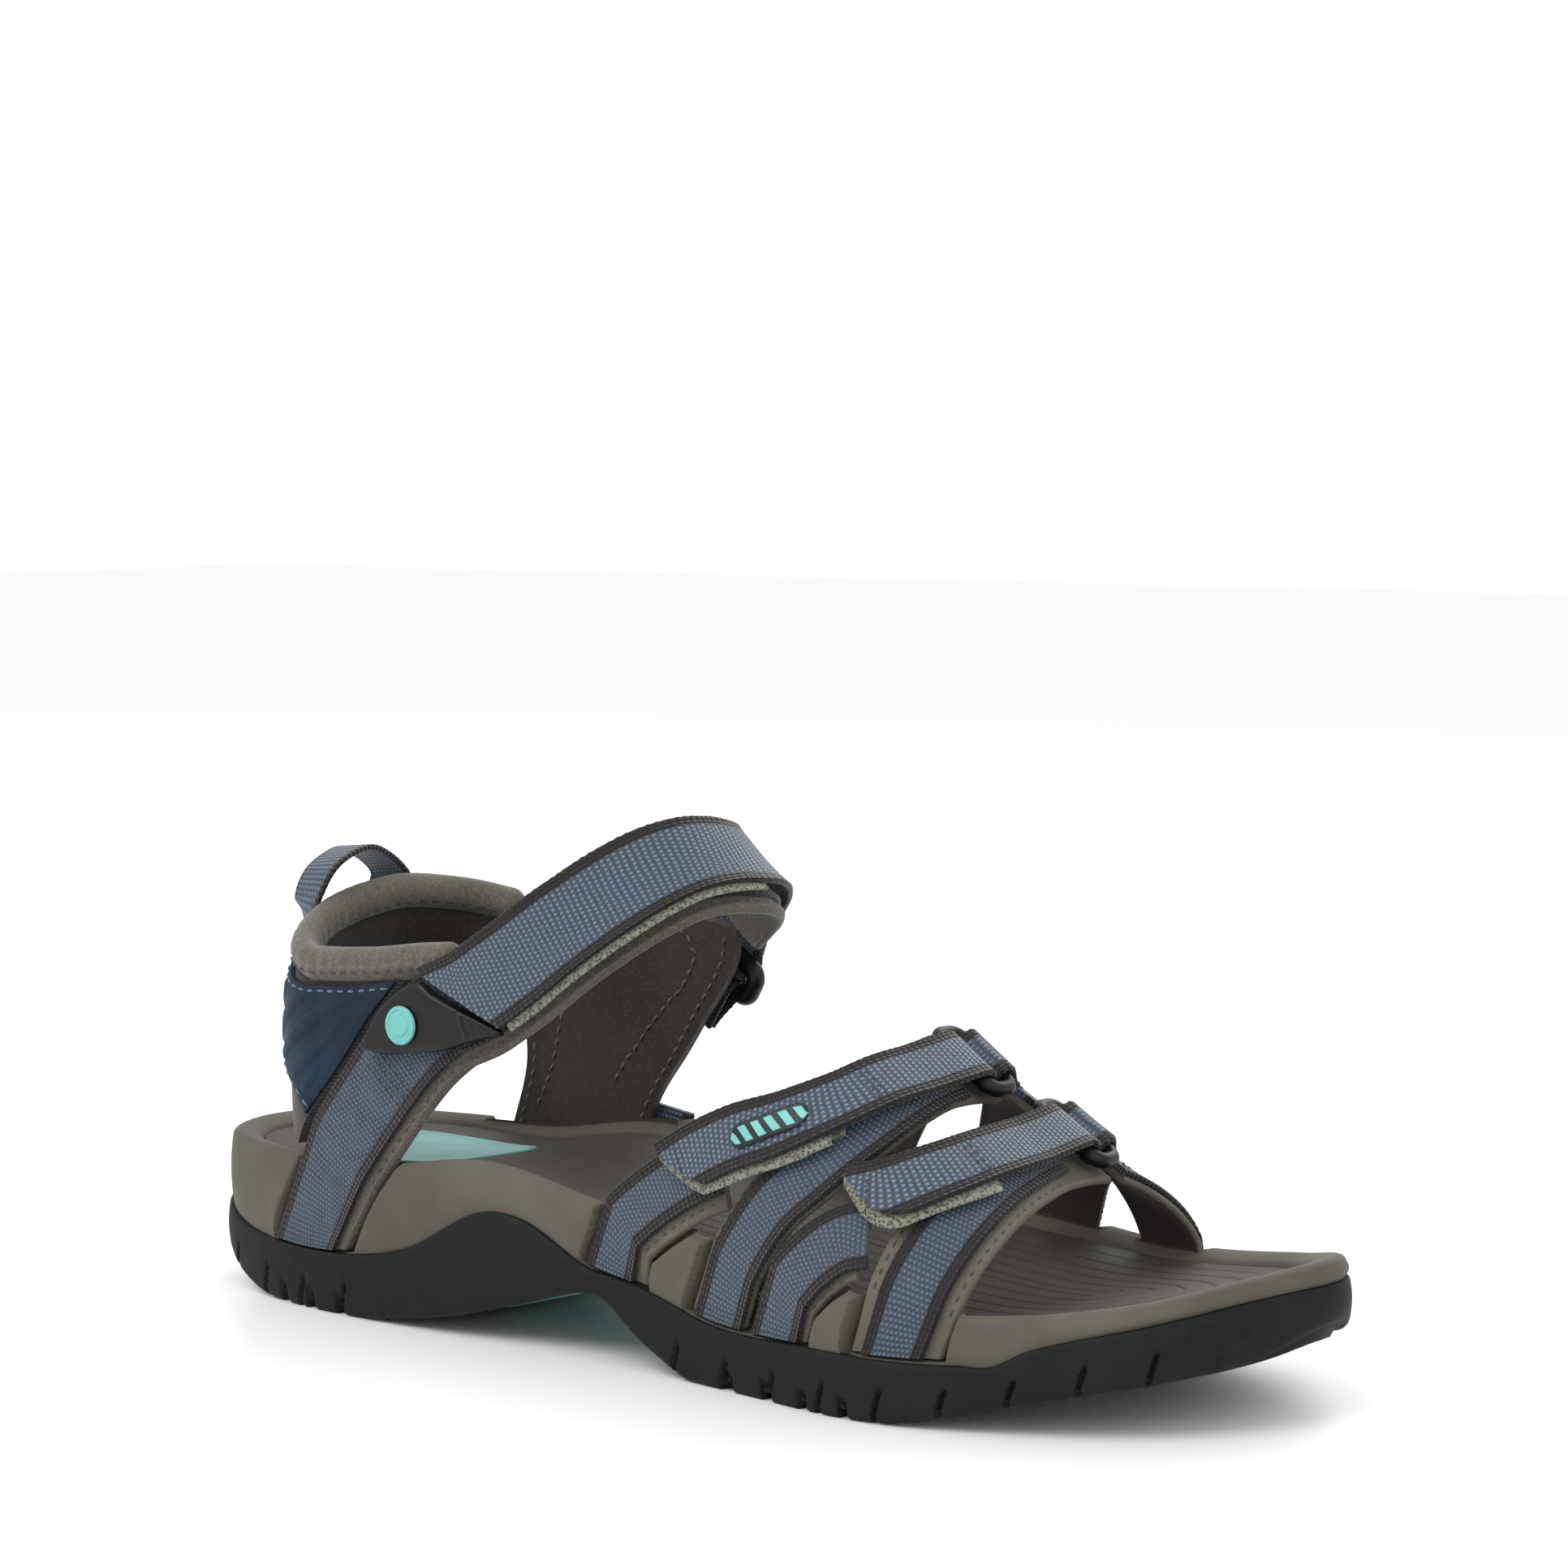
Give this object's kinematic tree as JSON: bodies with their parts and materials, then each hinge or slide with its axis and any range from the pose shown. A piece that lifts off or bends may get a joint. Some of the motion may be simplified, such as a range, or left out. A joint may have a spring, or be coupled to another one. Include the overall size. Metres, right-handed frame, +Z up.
{
  "type": "strappy_sport_sandal",
  "caption": "Women's strappy sport sandal, right foot: blue webbing straps with hook closures, taupe padded linings, taupe midsole, black rubber outsole",
  "frame": {"origin": "on the ground under the middle of the sole's bounding box", "axes": "X from heel to toe, Y from the outer side of the foot to the inner side, Z up"},
  "size_m": [0.262, 0.0896, 0.1065],
  "materials": {
    "outsole_rubber": "matte",
    "midsole_foam": "matte",
    "footbed_foam": "matte",
    "board": "matte",
    "teal_insert": "satin",
    "webbing": "woven",
    "lining": "padded",
    "dark_lining": "padded",
    "counter": "smooth",
    "hook_tape": "brushed",
    "black_plastic": "satin"
  },
  "bodies": {
    "sole_and_straps": {"outsole": "outsole_rubber", "midsole": "midsole_foam", "lasting_board": "board", "footbed": "footbed_foam", "heel_insert": "teal_insert", "arch_shank": "teal_insert", "heel_collar_lining": "dark_lining", "heel_collar_roll": "lining", "heel_counter": "counter", "heel_pull_loop": "webbing", "ankle_lining": "lining", "ankle_webbing": "webbing", "ankle_loop_tape": "hook_tape", "medial_quarter_lining": "dark_lining", "medial_rear_webbing": "webbing", "medial_front_webbing": "webbing", "ankle_ring_keeper": "webbing", "vamp_lining_rear": "lining", "vamp_webbing_rear": "webbing", "instep_lining": "lining", "instep_webbing": "webbing", "instep_loop_tape": "hook_tape", "vamp_lining_front": "lining", "vamp_webbing_front": "webbing", "toe_lining": "lining", "toe_webbing": "webbing", "toe_loop_tape": "hook_tape", "instep_ring_keeper": "webbing", "toe_ring_keeper": "webbing", "medial_lining_1": "lining", "medial_webbing_1": "webbing", "medial_lining_2": "lining", "medial_webbing_2": "webbing", "medial_lining_3": "lining", "medial_webbing_3": "webbing", "medial_lining_4": "lining", "medial_webbing_4": "webbing"},
    "ankle_ring": {"ankle_ring": "black_plastic"},
    "ankle_flap": {"ankle_strap": "webbing", "ankle_hook_tape": "hook_tape", "ankle_pull_tab": "black_plastic", "pull_tab_badge": "teal_insert"},
    "instep_ring": {"instep_ring": "black_plastic"},
    "instep_flap": {"instep_strap": "webbing", "instep_hook_tape": "hook_tape", "instep_badge": "teal_insert"},
    "toe_ring": {"toe_ring": "black_plastic"},
    "toe_flap": {"toe_strap": "webbing", "toe_hook_tape": "hook_tape"}
  },
  "joints": [
    {"name": "ankle_ring_swing", "type": "hinge", "parent": "sole_and_straps", "child": "ankle_ring", "pos_m": [-0.02982, 0.02891, 0.07069], "axis": [-0.806, 0.0371, 0.5907], "range_deg": [0, 25]},
    {"name": "ankle_strap_open", "type": "hinge", "parent": "ankle_ring", "child": "ankle_flap", "pos_m": [-0.02557, 0.02746, 0.07658], "axis": [-0.806, 0.0371, 0.5907], "range_deg": [0, 100]},
    {"name": "instep_ring_swing", "type": "hinge", "parent": "sole_and_straps", "child": "instep_ring", "pos_m": [0.05317, 0.00805, 0.06051], "axis": [-0.8249, 0.0405, 0.5638], "range_deg": [0, 25]},
    {"name": "instep_strap_open", "type": "hinge", "parent": "instep_ring", "child": "instep_flap", "pos_m": [0.05299, 0.00125, 0.06074], "axis": [-0.8249, 0.0405, 0.5638], "range_deg": [0, 100]},
    {"name": "toe_ring_swing", "type": "hinge", "parent": "sole_and_straps", "child": "toe_ring", "pos_m": [0.07172, 0.01545, 0.04718], "axis": [-0.8404, -0.0293, 0.5411], "range_deg": [0, 25]},
    {"name": "toe_strap_open", "type": "hinge", "parent": "toe_ring", "child": "toe_flap", "pos_m": [0.07215, 0.00868, 0.04749], "axis": [-0.8404, -0.0293, 0.5411], "range_deg": [0, 100]}
  ]
}
